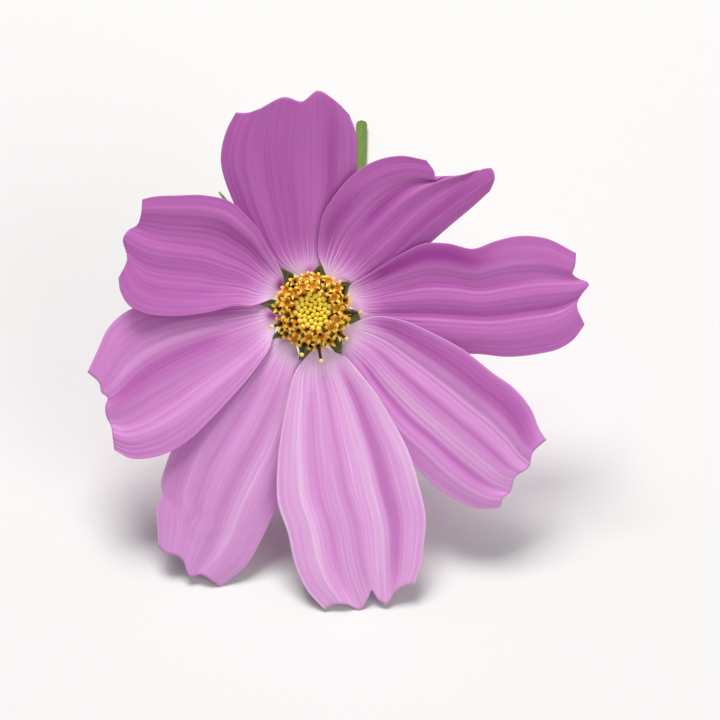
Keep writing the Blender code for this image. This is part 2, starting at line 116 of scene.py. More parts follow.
PETALS = (
    PetalShape(
        "top", 97, 101.5,
        ((8.7, 5.6), (11.5, 7.4), (15.2, 9.0), (20, 10.7), (26, 11.5), (30.5, 9.9), (32.9, 8.2)),
        ((32.9, 8.2), (32.6, 6.4), (32.9, 4.7), (34.3, 0.0), (33.3, -2.4), (34.7, -5.2), (33.1, -7.4),
         (30.3, -9.7)),
        ((8, -3.6), (11.5, -5.6), (15.5, -7.8), (19, -9.2), (23, -10.0), (27.8, -10.3), (30.3, -9.7)),
        ((6, 0.05), (10, 0.5), (20, 1.6), (34, 4.2)),
        Side.UNDER, Side.UNDER, 0.66,
        (Crease(0.70, 0.05, 0.25, -0.12, 10, 34), Crease(0.80, 0.05, -0.2, 0.18, 14, 32),
         Crease(0.30, 0.05, -0.2, 0.10, 8, 28), Crease(0.48, 0.04, -0.15, 0.10, 8, 24)),
        0.5,
    ),
    PetalShape(
        "upper_right", 48, 59,
        ((7, 4.9), (9.5, 7.2), (12.5, 9.0), (16, 9.7), (20, 9.8), (24, 8.8), (27.8, 6.1), (30, 2.6)),
        ((30, 2.6), (29.5, 0.4), (28.7, -0.6), (29.8, -1.2), (32, -3.2), (34.6, -4.8), (36, -6.1),
         (35.5, -7.1), (33.2, -8.2)),
        ((8, -3.4), (12, -5.2), (16, -6.2), (20, -6.6), (25, -7.2), (30, -7.9), (33.2, -8.2)),
        ((6, 0.05), (10, 0.5), (20, 1.6), (36, 3.4)),
        Side.OVER, Side.UNDER, 0.66,
        (Crease(0.14, 0.09, -0.3, 0.30, 8, 21), Crease(0.27, 0.05, 0.3, -0.22, 12, 30),
         Crease(0.42, 0.06, -0.5, 0.34, 14, 26), Crease(0.50, 0.03, 0.4, -0.15, 12, 30),
         Crease(0.70, 0.03, 0.15, -0.12, 10, 34), Crease(0.80, 0.05, -0.3, 0.22, 14, 34)),
    ),
    PetalShape(
        "right", 5, 16.5,
        ((8, 4.4), (11.4, 6.1), (15, 7.9), (18.7, 9.2), (22.4, 8.9), (26.5, 7.7), (30, 8.6), (33.9, 9.1),
         (38, 8.4), (42.7, 5.6)),
        ((42.7, 5.6), (42.3, 3.4), (41.9, 2.5), (44.3, 0.3), (43.4, -0.6), (42.2, -2.5), (43.1, -5.9)),
        ((8, -3.6), (12, -5.6), (17, -7.6), (22, -8.7), (26, -9.1), (30.2, -9.9), (35.1, -9.9),
         (38.9, -9.3), (41, -8.2), (43.1, -5.9)),
        ((6, 0.05), (10, 0.5), (20, 1.4), (32, 1.9), (44, 1.6)),
        Side.OVER, Side.UNDER, 0.55,
        (Crease(0.10, 0.09, -0.2, 0.62, 8, 30), Crease(0.22, 0.03, 0.2, -0.15, 8, 40),
         Crease(0.38, 0.05, -0.25, 0.22, 12, 36), Crease(0.64, 0.05, -0.35, 0.30, 9, 44),
         Crease(0.72, 0.03, 0.2, -0.12, 12, 44)),
    ),
    PetalShape(
        "lower_right", -37, -31,
        ((8.5, 5.4), (12, 7.4), (17, 8.7), (23, 9.6), (29, 9.5), (33, 9.6), (37.4, 8.5), (40.3, 6.8),
         (42.2, 6.1)),
        ((42.2, 6.1), (41.7, 3.1), (42.6, 1.0), (41.8, -1.6), (42.6, -4.1), (42.3, -5.5), (42.7, -6.7),
         (42.2, -7.6)),
        ((8, -3.4), (12, -5.2), (17, -7.6), (22.7, -9.4), (27.7, -9.9), (33.5, -10.5), (37.6, -10.1),
         (40, -9.3), (42.2, -7.6)),
        ((6, 0.05), (10, 0.5), (20, 1.3), (31, 1.5), (43, 0.9)),
        Side.OVER, Side.UNDER, 0.28,
        (Crease(0.13, 0.10, -0.2, 0.60, 8, 42), Crease(0.25, 0.03, 0.25, -0.12, 8, 42),
         Crease(0.50, 0.05, -0.4, 0.26, 10, 42), Crease(0.62, 0.06, 0.3, -0.15, 12, 42),
         Crease(0.75, 0.04, -0.5, 0.34, 10, 42)),
    ),
    PetalShape(
        "bottom", -81.5, -80,
        ((8, 4.1), (11, 6.1), (14, 7.9), (18, 9.6), (24.6, 11.9), (30, 12.7), (35, 13.0), (39.3, 12.1),
         (43, 10.9), (45.4, 9.6)),
        ((45.4, 9.6), (45.4, 8.2), (46.0, 6.6), (47.9, 4.6), (46.9, 3.5), (45.4, 2.8), (46.4, 2.1),
         (48.2, 0.3), (47.4, -0.8), (46.8, -2.3), (46.8, -3.8), (47.3, -5.1)),
        ((9, -4.0), (13, -5.8), (18, -7.6), (24, -9.2), (29.7, -9.9), (34, -9.1), (40, -8.6),
         (43.8, -7.4), (47.3, -5.1)),
        ((6, 0.05), (10, 0.6), (20, 1.6), (32, 2.4), (48, 2.5)),
        Side.OVER, Side.OVER, 0.20,
        (Crease(0.04, 0.03, 0.2, -0.15, 8, 34), Crease(0.22, 0.06, -0.45, 0.34, 9, 46),
         Crease(0.32, 0.05, 0.3, -0.12, 10, 46), Crease(0.52, 0.04, -0.25, 0.16, 10, 46),
         Crease(0.72, 0.05, -0.3, 0.20, 12, 46), Crease(0.84, 0.05, 0.2, -0.10, 12, 44)),
    ),
    PetalShape(
        "lower_left", 247, 234.5,
        ((8, 1.5), (12, 4.0), (17, 6.0), (23, 7.2), (28, 7.2), (33, 6.9), (37, 6.7), (41.5, 6.1),
         (46.4, 3.5)),
        ((46.4, 3.5), (45.9, 1.4), (45.8, 0.0), (46.7, -1.4), (44.9, -3.5), (44.5, -4.7), (44.8, -6.6),
         (44.3, -8.0)),
        ((8, -4.9), (12, -6.9), (17, -9.0), (22, -10.8), (27, -12.0), (31.6, -12.0), (35, -11.5),
         (36.7, -10.6), (37.9, -10.8), (41, -9.6), (44.3, -8.0)),
        ((6, 0.05), (10, 0.5), (20, 0.9), (30, 0.6), (46, -0.65)),
        Side.UNDER, Side.UNDER, 0.26,
        (Crease(0.28, 0.05, 0.3, -0.14, 10, 44), Crease(0.42, 0.05, -0.3, 0.12, 12, 44),
         Crease(0.66, 0.05, -0.25, 0.14, 12, 40), Crease(0.86, 0.06, -0.2, 0.14, 10, 40)),
    ),
    PetalShape(
        "left", 205, 193,
        ((8.6, 2.4), (11, 3.9), (14.3, 5.6), (18, 7.2), (22.5, 9.0), (27, 10.4), (32.7, 10.4),
         (36.3, 8.9), (38, 6.7)),
        ((38, 6.7), (37.4, 4.9), (36.9, 3.1), (36.9, 1.2), (36.4, -0.2), (35.5, -1.3), (36.0, -2.5),
         (35.7, -3.9), (36.7, -6.4)),
        ((8.3, -5.3), (11, -6.8), (15, -8.9), (19.2, -10.9), (23, -12.2), (27.5, -12.5), (31, -11.2),
         (33.5, -9.1), (36.7, -6.4)),
        ((6, 0.05), (10, 0.5), (20, 1.2), (30, 1.5), (39, 1.2)),
        Side.OVER, Side.UNDER, 0.38,
        (Crease(0.20, 0.06, 0.3, -0.12, 10, 36), Crease(0.55, 0.07, -0.5, 0.36, 14, 36),
         Crease(0.68, 0.05, 0.35, -0.20, 14, 36), Crease(0.86, 0.05, -0.2, 0.22, 10, 26)),
        0.7,
    ),
    PetalShape(
        "upper_left", 161, 148,
        ((9.5, 2.4), (12.3, 3.4), (14.9, 5.1), (18.8, 7.2), (22, 8.4), (25, 9.0), (27.8, 8.6),
         (29.9, 6.8), (30.8, 5.0)),
        ((30.8, 5.0), (30.5, 1.8), (32.2, -1.4), (31.9, -2.6), (30.8, -4.0), (30.7, -5.1), (31.3, -8.0)),
        ((8.4, -5.9), (10.5, -7.7), (12.5, -9.6), (15, -11.0), (17.8, -12.2), (22, -11.9), (26.3, -10.4),
         (29.9, -8.9), (31.3, -8.0)),
        ((6, 0.05), (10, 0.6), (20, 2.0), (32, 3.8)),
        Side.OVER, Side.OVER, 0.58,
        (Crease(0.10, 0.06, 0.2, -0.12, 8, 28), Crease(0.20, 0.06, -0.3, 0.18, 14, 30),
         Crease(0.60, 0.05, -0.25, 0.14, 10, 28), Crease(0.78, 0.06, -0.4, 0.36, 8, 22),
         Crease(0.88, 0.04, 0.3, -0.10, 8, 26)),
        1.1,
    ),
)


def srgb(code: str) -> tuple[float, float, float, float]:
    """Turn an sRGB hex colour to linear.

    Args:
        code: six hex digits after a hash.

    Returns:
        Red, green, blue and an alpha of 1, linear.
    """
    values = np.array([int(code[i : i + 2], 16) / 255 for i in (1, 3, 5)])
    linear = np.where(values <= 0.04045, values / 12.92, ((values + 0.055) / 1.055) ** 2.4)
    return (*(float(v) for v in linear), 1.0)


def smooth_through(knots: np.ndarray, values: np.ndarray, x: np.ndarray) -> np.ndarray:
    """Read a cubic curve that passes through values at knots, with central slopes.

    Args:
        knots: rising places of the values.
        values: one number or point per knot.
        x: places to read, of any shape.

    Returns:
        The curve at each x.
    """
    knots = np.asarray(knots, float)
    values = np.asarray(values, float)
    slopes = np.gradient(values, knots, axis=0)
    x = np.clip(x, knots[0], knots[-1])
    i = np.clip(np.searchsorted(knots, x, side="right") - 1, 0, len(knots) - 2)
    span = knots[i + 1] - knots[i]
    f = (x - knots[i]) / span
    if values.ndim == 2:
        span, f = span[..., None], f[..., None]
    rise = f * f * (3 - 2 * f)
    return (
        values[i] * (1 - rise) + values[i + 1] * rise
        + span * slopes[i] * f * (1 - f) ** 2 - span * slopes[i + 1] * f * f * (1 - f)
    )


def along_points(points: Points, u: np.ndarray) -> np.ndarray:
    """Read a smooth curve through points at u, from 0 to 1 of its length.

    Args:
        points: places that the curve passes through.
        u: shares of its chord length.

    Returns:
        One point for each u.
    """
    places = np.asarray(points, float)
    steps = np.linalg.norm(np.diff(places, axis=0), axis=1)
    knots = np.concatenate([[0.0], np.cumsum(steps)])
    return smooth_through(knots / knots[-1], places, u)


def height_at(stations: Points, radius: np.ndarray) -> np.ndarray:
    """Read (radius, height) stations at each radius."""
    radii, heights = zip(*stations)
    return smooth_through(np.array(radii), np.array(heights), radius)


def turned(points: np.ndarray, degrees: float) -> np.ndarray:
    """Turn flat points about the head's axis.

    Args:
        points: array whose last axis is x, y.
        degrees: how far, anticlockwise.

    Returns:
        The turned points.
    """
    angle = math.radians(degrees)
    x, y = points[..., 0], points[..., 1]
    return np.stack(
        [x * math.cos(angle) - y * math.sin(angle), x * math.sin(angle) + y * math.cos(angle)], axis=-1
    )


def ease(x: np.ndarray, low: float, high: float) -> np.ndarray:
    """Rise smoothly from 0 at low to 1 at high."""
    f = np.clip((x - low) / (high - low), 0.0, 1.0)
    return f * f * (3 - 2 * f)


def fibres(across: np.ndarray, radius: np.ndarray, seed: int, low: int, high: int) -> np.ndarray:
    """Lengthwise streaks: a sum of waves across the petal whose phase drifts slowly outwards.

    Args:
        across: 0 to 1 over the petal.
        radius: mm from the disc's axis.
        seed: picks the waves.
        low: fewest waves over the width.
        high: most waves over the width.

    Returns:
        A value near -1 to 1 at each point.
    """
    rng = np.random.default_rng(seed)
    total = np.zeros(np.broadcast(across, radius).shape)
    counts = np.arange(low, high)
    for count in counts:
        phase, drift, size = rng.uniform(0, 2 * math.pi), rng.normal(0, 0.02), rng.uniform(0.4, 1.0)
        total = total + size * np.sin(2 * math.pi * count * across + phase + drift * radius)
    return total / math.sqrt(len(counts))


@dataclass(frozen=True)
class Head:
    """Where the flower head lies in the CAD frame, in mm, and its backward tilt."""

    place: tuple[float, float, float] = (-4.0, -22.2, 32.1)
    tilt: float = math.radians(45.0)

    def to_world(self, points: np.ndarray) -> np.ndarray:
        """Take head points in mm to CAD points in metres.

        Args:
            points: array whose last axis is x, y, z in the head's frame.

        Returns:
            The same array in the CAD's frame.
        """
        sine, cosine = math.sin(self.tilt), math.cos(self.tilt)
        x, y, z = points[..., 0], points[..., 1], points[..., 2]
        world = np.stack([x, y * cosine - z * sine, y * sine + z * cosine], axis=-1)
        return (world + np.array(self.place)) * MM


HEAD = Head()


@dataclass
class Surface:
    """A mesh in the making: parts are added as grids, then made one object."""

    name: str
    points: list[np.ndarray] = field(default_factory=list)
    faces: list[np.ndarray] = field(default_factory=list)
    uvs: list[np.ndarray] = field(default_factory=list)
    shades: list[np.ndarray] = field(default_factory=list)
    count: int = 0

    def add_grid(
        self, rows: np.ndarray, uv: np.ndarray | None = None, shade: np.ndarray | float = 0.0,
        closed: bool = False,
    ) -> None:
        """Add a grid of points as quads, wound so that rows to columns faces outwards.

        Args:
            rows: (rows, columns, 3) points in metres.
            uv: (rows, columns, 2) coordinates, or the grid's own shares where left out.
            shade: one number a point, kept in the mesh as the attribute "shade".
            closed: join the last column to the first.
        """
        high, wide = rows.shape[:2]
        index = self.count + np.arange(high * wide).reshape(high, wide)
        if closed:
            index = np.concatenate([index, index[:, :1]], axis=1)
        quads = np.stack([index[:-1, :-1], index[:-1, 1:], index[1:, 1:], index[1:, :-1]], axis=-1)
        if uv is None:
            across, along = np.meshgrid(np.linspace(0, 1, wide), np.linspace(0, 1, high))
            uv = np.stack([across, along], axis=-1)
        self.points.append(rows.reshape(-1, 3))
        self.faces.append(quads.reshape(-1, 4))
        self.uvs.append(uv.reshape(-1, 2))
        self.shades.append(np.broadcast_to(shade, (high, wide)).reshape(-1))
        self.count += high * wide

    def build(
        self, material: bpy.types.Material, slot: str, replaces: tuple[str, ...] = ()
    ) -> bpy.types.Object:
        """Make the object, dress it and tie it to the CAD.

        Args:
            material: its finish.
            slot: not used.
            replaces: CAD nodes that it stands for.

        Returns:
            The new object.
        """
        points = np.concatenate(self.points)
        faces = np.concatenate(self.faces)
        mesh = bpy.data.meshes.new(self.name)
        mesh.from_pydata(points, [], faces.tolist())
        layer = mesh.uv_layers.new(name="UVMap")
        corner_uv = np.concatenate(self.uvs)[faces.reshape(-1)]
        layer.data.foreach_set("uv", corner_uv.reshape(-1).astype(np.float32))
        shade = mesh.attributes.new("shade", "FLOAT", "POINT")
        shade.data.foreach_set("value", np.concatenate(self.shades).astype(np.float32))
        mesh.shade_smooth()
        mesh.materials.append(material)
        obj = bpy.data.objects.new(self.name, mesh)
        bpy.context.scene.collection.objects.link(obj)
        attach(obj, BODY)
        if replaces:
            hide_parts(*replaces)
        LOG.info("%s: %d points, %d faces", self.name, len(points), len(faces))
        return obj


def add_solidify(obj: bpy.types.Object, thickness: float) -> None:
    """Thicken an open sheet evenly on both sides.

    Args:
        obj: the sheet.
        thickness: in mm.
    """
    solid = obj.modifiers.new("Thickness", "SOLIDIFY")
    solid.thickness = thickness * MM
    solid.offset = 0.0


def ball(centre: np.ndarray, axis: np.ndarray, radii: tuple[float, float], lobes: int = 0,
         groove: float = 0.0, rows: int = 7, columns: int = 10) -> np.ndarray:
    """A closed egg: circles about an axis, whose radius dips between lobes.

    Args:
        centre: its middle, in mm.
        axis: unit direction of its length.
        radii: across and along, in mm.
        lobes: ridges round it.
        groove: depth of the grooves as a share of the radius.
        rows: circles from pole to pole.
        columns: points round each.

    Returns:
        (rows, columns, 3) points in mm.
    """
    side, other = frame_of(axis)
    polar = np.linspace(0.0, math.pi, rows)[:, None]
    angle = np.linspace(0.0, 2 * math.pi, columns, endpoint=False)[None]
    reach = radii[0] * np.sin(polar) * (1 - groove * (0.5 - 0.5 * np.cos(lobes * angle)))
    return (
        centre + reach[..., None] * (np.cos(angle)[..., None] * side + np.sin(angle)[..., None] * other)
        - radii[1] * np.cos(polar)[..., None] * axis
    )


def frame_of(axis: np.ndarray) -> tuple[np.ndarray, np.ndarray]:
    """Complete a right-handed frame.

    Args:
        axis: its unit third direction.

    Returns:
        Its first and second directions.
    """
    guide = np.array([0.0, 0.0, 1.0]) if abs(axis[2]) < 0.9 else np.array([1.0, 0.0, 0.0])
    side = np.cross(guide, axis)
    side /= np.linalg.norm(side)
    return side, np.cross(axis, side)


def tube(
    path: np.ndarray, radii: np.ndarray, columns: int, ribs: int = 0, rib_height: float = 0.0
) -> np.ndarray:
    """A round tube: a circle carried along a path, square to it, closed at both ends.

    Args:
        path: (n, 3) centre points.
        radii: one for each point.
        columns: points round the tube.
        ribs: lengthwise ribs round it.
        rib_height: their height as a share of the radius.

    Returns:
        (n + 2, columns, 3) points; the end rows are the closed poles.
    """
    tangent = np.gradient(path, axis=0)
    tangent /= np.linalg.norm(tangent, axis=1, keepdims=True)
    guide = np.array([1.0, 0.0, 0.0]) if abs(tangent[0][0]) < 0.8 else np.array([0.0, 1.0, 0.0])
    side = np.cross(tangent, guide)
    side /= np.linalg.norm(side, axis=1, keepdims=True)
    other = np.cross(tangent, side)
    angle = np.linspace(0.0, 2 * math.pi, columns, endpoint=False)
    reach = radii[:, None] * (1 + rib_height * np.cos(ribs * angle)[None])
    body = path[:, None] + reach[..., None] * (
        np.cos(angle)[None, :, None] * side[:, None] + np.sin(angle)[None, :, None] * other[:, None]
    )
    start = np.repeat(path[:1, None], columns, axis=1)
    end = np.repeat(path[-1:, None], columns, axis=1)
    return np.concatenate([start, body, end])


def weld(obj: bpy.types.Object) -> None:
    """Merge the points of closed poles and seams, which lie on one another."""
    join = obj.modifiers.new("Poles", "WELD")
    join.merge_threshold = 0.000001


class NodeMaterial:
    """A Principled material and a short way to add nodes to it."""

    def __init__(self, name: str, roughness: float, colour: str = "#808080") -> None:
        """Start from a Principled shader.

        Args:
            name: the real material's name.
            roughness: even roughness on the shader's own socket.
            colour: sRGB hex for the base.
        """
        self.material = bpy.data.materials.new(name)
        self.material.use_nodes = True
        self.tree = self.material.node_tree
        self.shader = self.tree.nodes["Principled BSDF"]
        self.shader.inputs["Base Color"].default_value = srgb(colour)
        self.shader.inputs["Roughness"].default_value = roughness
        self.shader.inputs["Metallic"].default_value = 0.0

    def set(self, **values: float) -> None:
        """Set numbers on the shader's own sockets, with _ for a space in their names."""
        for name, value in values.items():
            self.shader.inputs[name.replace("_", " ")].default_value = value

    def add(self, kind: str, links: dict | None = None, **settings: object) -> bpy.types.Node:
        """Add a node.

        Args:
            kind: its type, without the ShaderNode prefix.
            links: input name or number to an output socket, or to a plain value.
            settings: attributes of the node.

        Returns:
            The node.
        """
        node = self.tree.nodes.new(f"ShaderNode{kind}")
        for name, value in settings.items():
            setattr(node, name, value)
        for name, value in (links or {}).items():
            if isinstance(value, bpy.types.NodeSocket):
                self.tree.links.new(value, node.inputs[name])
            else:
                node.inputs[name].default_value = value
        return node

    def ramp(
        self, value: bpy.types.NodeSocket, stops: tuple[tuple[float, str], ...]
    ) -> bpy.types.NodeSocket:
        """Colour a value.

        Args:
            value: what picks the colour, from 0 to 1.
            stops: (place, sRGB hex) pairs in rising order.

        Returns:
            The colour's socket.
        """
        node = self.add("ValToRGB", {"Fac": value})
        ramp = node.color_ramp
        ramp.elements[0].position, ramp.elements[0].color = stops[0][0], srgb(stops[0][1])
        ramp.elements[1].position, ramp.elements[1].color = stops[-1][0], srgb(stops[-1][1])
        for place, code in stops[1:-1]:
            ramp.elements.new(place).color = srgb(code)
        return node.outputs["Color"]

    def bump(self, height: bpy.types.NodeSocket, depth_mm: float, strength: float = 1.0) -> None:
        """Lift the surface by a height pattern, depth_mm deep at most."""
        node = self.add("Bump", {"Height": height, "Strength": strength, "Distance": depth_mm * MM})
        self.tree.links.new(node.outputs["Normal"], self.shader.inputs["Normal"])

    def base(self, colour: bpy.types.NodeSocket) -> None:
        """Link the base colour."""
        self.tree.links.new(colour, self.shader.inputs["Base Color"])


@dataclass(frozen=True)
class PetalTissue:
    """Ray-floret tissue: thin, translucent and velvety, with fine lengthwise veins."""

    pale: str = "#f1d0eb"
    light: str = "#dc9cd4"
    middle: str = "#c06db6"
    deep: str = "#95308a"
    vein_spacing_mm: float = 0.45

    def make(self) -> bpy.types.Material:
        """Build the material.

        The UV map holds mm across and mm outwards, and the attribute "shade"
        is how deep the colour is, from 0 to 1. Vein noise is stretched forty
        times lengthwise.

        Returns:
            The material.
        """
        made = NodeMaterial("petal_tissue", 0.5)
        made.set(Subsurface_Weight=0.15, Subsurface_Scale=0.0006, Sheen_Weight=0.15, Sheen_Roughness=0.4,
                 Specular_IOR_Level=0.35)
        made.shader.inputs["Subsurface Radius"].default_value = (1.0, 0.5, 0.9)
        shade = made.add("Attribute", attribute_name="shade").outputs["Fac"]
        place = made.add("UVMap", uv_map="UVMap").outputs["UV"]
        scale = (1 / self.vein_spacing_mm, 0.025 / self.vein_spacing_mm, 1.0)
        stretched = made.add("Mapping", {"Vector": place, "Scale": scale}).outputs["Vector"]
        veins = made.add("TexNoise", {"Vector": stretched, "Scale": 1.0, "Detail": 3.0, "Roughness": 0.6})
        wide = made.add("Mapping", {"Vector": place, "Scale": (0.5, 0.05, 1.0)}).outputs["Vector"]
        flecks = made.add("TexNoise", {"Vector": wide, "Scale": 1.0, "Detail": 4.0, "Roughness": 0.65})
        streak = made.add(
            "Math", {0: veins.outputs["Fac"], 1: 0.22, 2: shade}, operation="MULTIPLY_ADD"
        ).outputs[0]
        both = made.add(
            "Math", {0: flecks.outputs["Fac"], 1: 0.08, 2: streak}, operation="MULTIPLY_ADD"
        ).outputs[0]
        centred = made.add("Math", {0: both, 1: 0.15}, operation="SUBTRACT").outputs[0]
        stops = ((0.0, self.pale), (0.22, self.light), (0.5, self.middle), (1.0, self.deep))
        made.base(made.ramp(centred, stops))
        made.bump(veins.outputs["Fac"], 0.03, 0.5)
        return made.material


@dataclass(frozen=True)
class GreenTissue:
    """Leafy green tissue of bracts and stalk: waxy, with fine lengthwise ribs."""

    name: str
    dark: str
    light: str
    rib_mm: float = 0.25
    roughness: float = 0.5

    def make(self) -> bpy.types.Material:
        """Build the material from the UV map in mm, mixed by rib noise and the shade.

        Returns:
            The material.
        """
        made = NodeMaterial(self.name, self.roughness)
        place = made.add("UVMap", uv_map="UVMap").outputs["UV"]
        ribbed = made.add("Mapping", {"Vector": place, "Scale": (1 / self.rib_mm, 0.1 / self.rib_mm, 1.0)})
        ribs = made.add("TexNoise", {"Vector": ribbed.outputs["Vector"], "Scale": 1.0, "Detail": 2.0})
        shade = made.add("Attribute", attribute_name="shade").outputs["Fac"]
        mixed = made.add(
            "Math", {0: ribs.outputs["Fac"], 1: 0.5, 2: shade}, operation="MULTIPLY_ADD"
        ).outputs[0]
        made.base(made.ramp(mixed, ((0.1, self.dark), (0.9, self.light))))
        made.bump(ribs.outputs["Fac"], 0.03)
        return made.material


@dataclass(frozen=True)
class FloretTissue:
    """Disc-floret tissue: waxy yellow to burnt orange, mottled, with painted shade in its folds and at its
    foot.
    """

    name: str
    stops: tuple[tuple[float, str], ...]
    grain_mm: float = 0.3
    roughness: float = 0.45

    def make(self) -> bpy.types.Material:
        """Build the material: shade plus mottling on object coordinates picks the colour.

        Returns:
            The material.
        """
        made = NodeMaterial(self.name, self.roughness)
        place = made.add("TexCoord").outputs["Object"]
        grain = made.add("TexNoise", {"Vector": place, "Scale": 1 / (self.grain_mm * MM), "Detail": 2.0})
        shade = made.add("Attribute", attribute_name="shade").outputs["Fac"]
        mixed = made.add(
            "Math", {0: grain.outputs["Fac"], 1: 0.3, 2: shade}, operation="MULTIPLY_ADD"
        ).outputs[0]
        made.base(made.ramp(mixed, self.stops))
        made.bump(grain.outputs["Fac"], 0.03)
        return made.material


@dataclass
class Petals:
    """The eight ray florets."""

    thickness: float = 0.22
    rows: int = 84
    columns: int = 121
    claw_profile: Points = ((4.95, -5.4), (4.98, -3.0), (5.03, -1.5), (5.12, -0.6), (5.45, -0.15))
    claw_half_widths: tuple[float, ...] = (0.5, 0.5, 0.55, 0.6, 0.75)
    base: Points = ((6.0, 1.0), (6.9, 2.2))
    margin_power: float = 2.2
    pleats: int = 3
    pleat_height: float = 0.22

    def lamina(self, shape: PetalShape, sides: np.ndarray) -> tuple[np.ndarray, np.ndarray]:
        """A patch between the two margins, pulled out to the toothed tip, then folded.

        Flat place: straight lines across between the margins, plus the square of
        the share outwards times what the tip stands beyond its chord. Height: the
        middle's curve, a power of the distance from the middle times the margin's
        rise, three shallow pleats, an exponential ridge, rounded at its top, for each crease, and
        small waves along the fibres.

        Args:
            shape: the petal.
            sides: -1 to 1 across it.

        Returns:
            (rows, columns, 3) points in mm, and the radius at each.
        """
        lean = shape.claw_azimuth - shape.azimuth
        corners = [turned(np.array([along, side * across]), lean) for along, across in self.base
                   for side in (1, -1)]
        s = np.linspace(0.0, 1.0, self.rows)
        left = along_points([corners[0], corners[2], *shape.left_margin], s)
        right = along_points([corners[1], corners[3], *shape.right_margin], s)
        t = (sides + 1) / 2
        tip = along_points(shape.tip, t)
        chord = (1 - t)[:, None] * left[-1] + t[:, None] * right[-1]
        flat = (
            (1 - t)[None, :, None] * left[:, None] + t[None, :, None] * right[:, None]
            + (s**2)[:, None, None] * (tip - chord)[None]
        )
        radius = np.hypot(flat[..., 0], flat[..., 1])
        across = np.broadcast_to(t[None], radius.shape)
        rise = np.where(
            sides[None] < 0, height_at(shape.left.value, radius), height_at(shape.right.value, radius)
        )
        height = height_at(shape.middle, radius) + rise * np.abs(sides[None]) ** self.margin_power
        height -= self.pleat_height * ease(radius, 8, 22) * np.cos(2 * math.pi * self.pleats * across)
        for crease in shape.creases:
            reach = ease(radius, crease.start - 2, crease.start + 5)
            offset = np.hypot((across - crease.across) / crease.width, 0.35)
            height += 0.65 * crease.height * reach * np.exp(-offset)
        height += 0.03 * ease(radius, 7, 14) * fibres(across, radius, len(shape.name), 7, 26)
        return np.concatenate([turned(flat, shape.azimuth), height[..., None]], axis=-1), radius

    def claw(self, shape: PetalShape, sides: np.ndarray) -> np.ndarray:
        """The claw: straight rows across it, from the receptacle up to the lamina.

        Args:
            shape: the petal.
            sides: -1 to 1 across it.

        Returns:
            (rows, columns, 3) points in mm.
        """
        rows = []
        for (radius, height), half_width in zip(self.claw_profile, self.claw_half_widths):
            row = np.stack([np.full_like(sides, radius), -sides * half_width], axis=-1)
            flat = turned(row, shape.claw_azimuth)
            rows.append(np.column_stack([flat, np.full_like(sides, height)]))
        return np.array(rows)

    def shade(self, shape: PetalShape, t: np.ndarray, radius: np.ndarray) -> np.ndarray:
        """How deep the colour is: the petal's own depth with painted shade on the upper petals, painted
        shade in the creases' grooves and painted highlight on their ridges, a painted highlight along the
        margins, painted shade beside the claw, and a pale throat.

        Args:
            shape: the petal.
            t: 0 at its left margin to 1 at its right.
            radius: mm from the disc's axis.

        Returns:
            One number a point.
        """
        across = np.broadcast_to(t, radius.shape)
        # Each petal's own depth of colour, with painted shade making the upper petals, which face away
        # from the light, deeper.
        tone = np.full(radius.shape, shape.depth)
        for crease in shape.creases:
            fade_in = ease(radius, crease.start - 2, crease.start + 5)
            reach = fade_in * (1 - ease(radius, crease.end - 6, crease.end + 3))
            # Painted shade along the creases' grooves and painted highlight along their ridges.
            tone += 0.7 * crease.tone * reach * np.exp(-(((across - crease.across) / crease.width) ** 2))
        streaks = fibres(across, radius, 40 + len(shape.name), 9, 40)
        tone += 0.04 * streaks
        # A painted highlight along both margins.
        tone -= 0.12 * ease(np.abs(2 * across - 1), 0.975, 1.0)
        # Painted shade in the hollow where the petal folds into its claw.
        claw_shade = np.exp(-(((radius - 6.4) / 0.9) ** 2) - ((across - 0.75) / 0.22) ** 2)
        throat = ease(radius + 1.6 * streaks, 5.0, 13.0)
        return tone * throat - 0.08 * (1 - ease(radius, 6.5, 9.5)) + shape.claw_shade * claw_shade

    def build(self, tissue: bpy.types.Material) -> None:
        """Make every petal as one thin closed blade.

        Args:
            tissue: the petals' material.
        """
        sides = np.linspace(-1.0, 1.0, self.columns)
        t = (sides + 1) / 2
        for shape in PETALS:
            lamina, radius = self.lamina(shape, sides)
            claw = self.claw(shape, sides)
            rows = np.concatenate([claw, lamina])
            radii = np.concatenate([np.full(claw.shape[:2], 6.0), radius])
            shade = self.shade(shape, t[None], radii)
            mm_across = (t[None] - 0.5) * 20.0 + np.zeros_like(radii)
            uv = np.stack([mm_across + 40.0 * PETALS.index(shape), radii], axis=-1)
            surface = Surface(f"petal_{shape.name}_blade")
            surface.add_grid(HEAD.to_world(rows), uv, shade)
            blade = surface.build(tissue, "petal", (f"petal_{shape.name}",))
            add_solidify(blade, self.thickness)


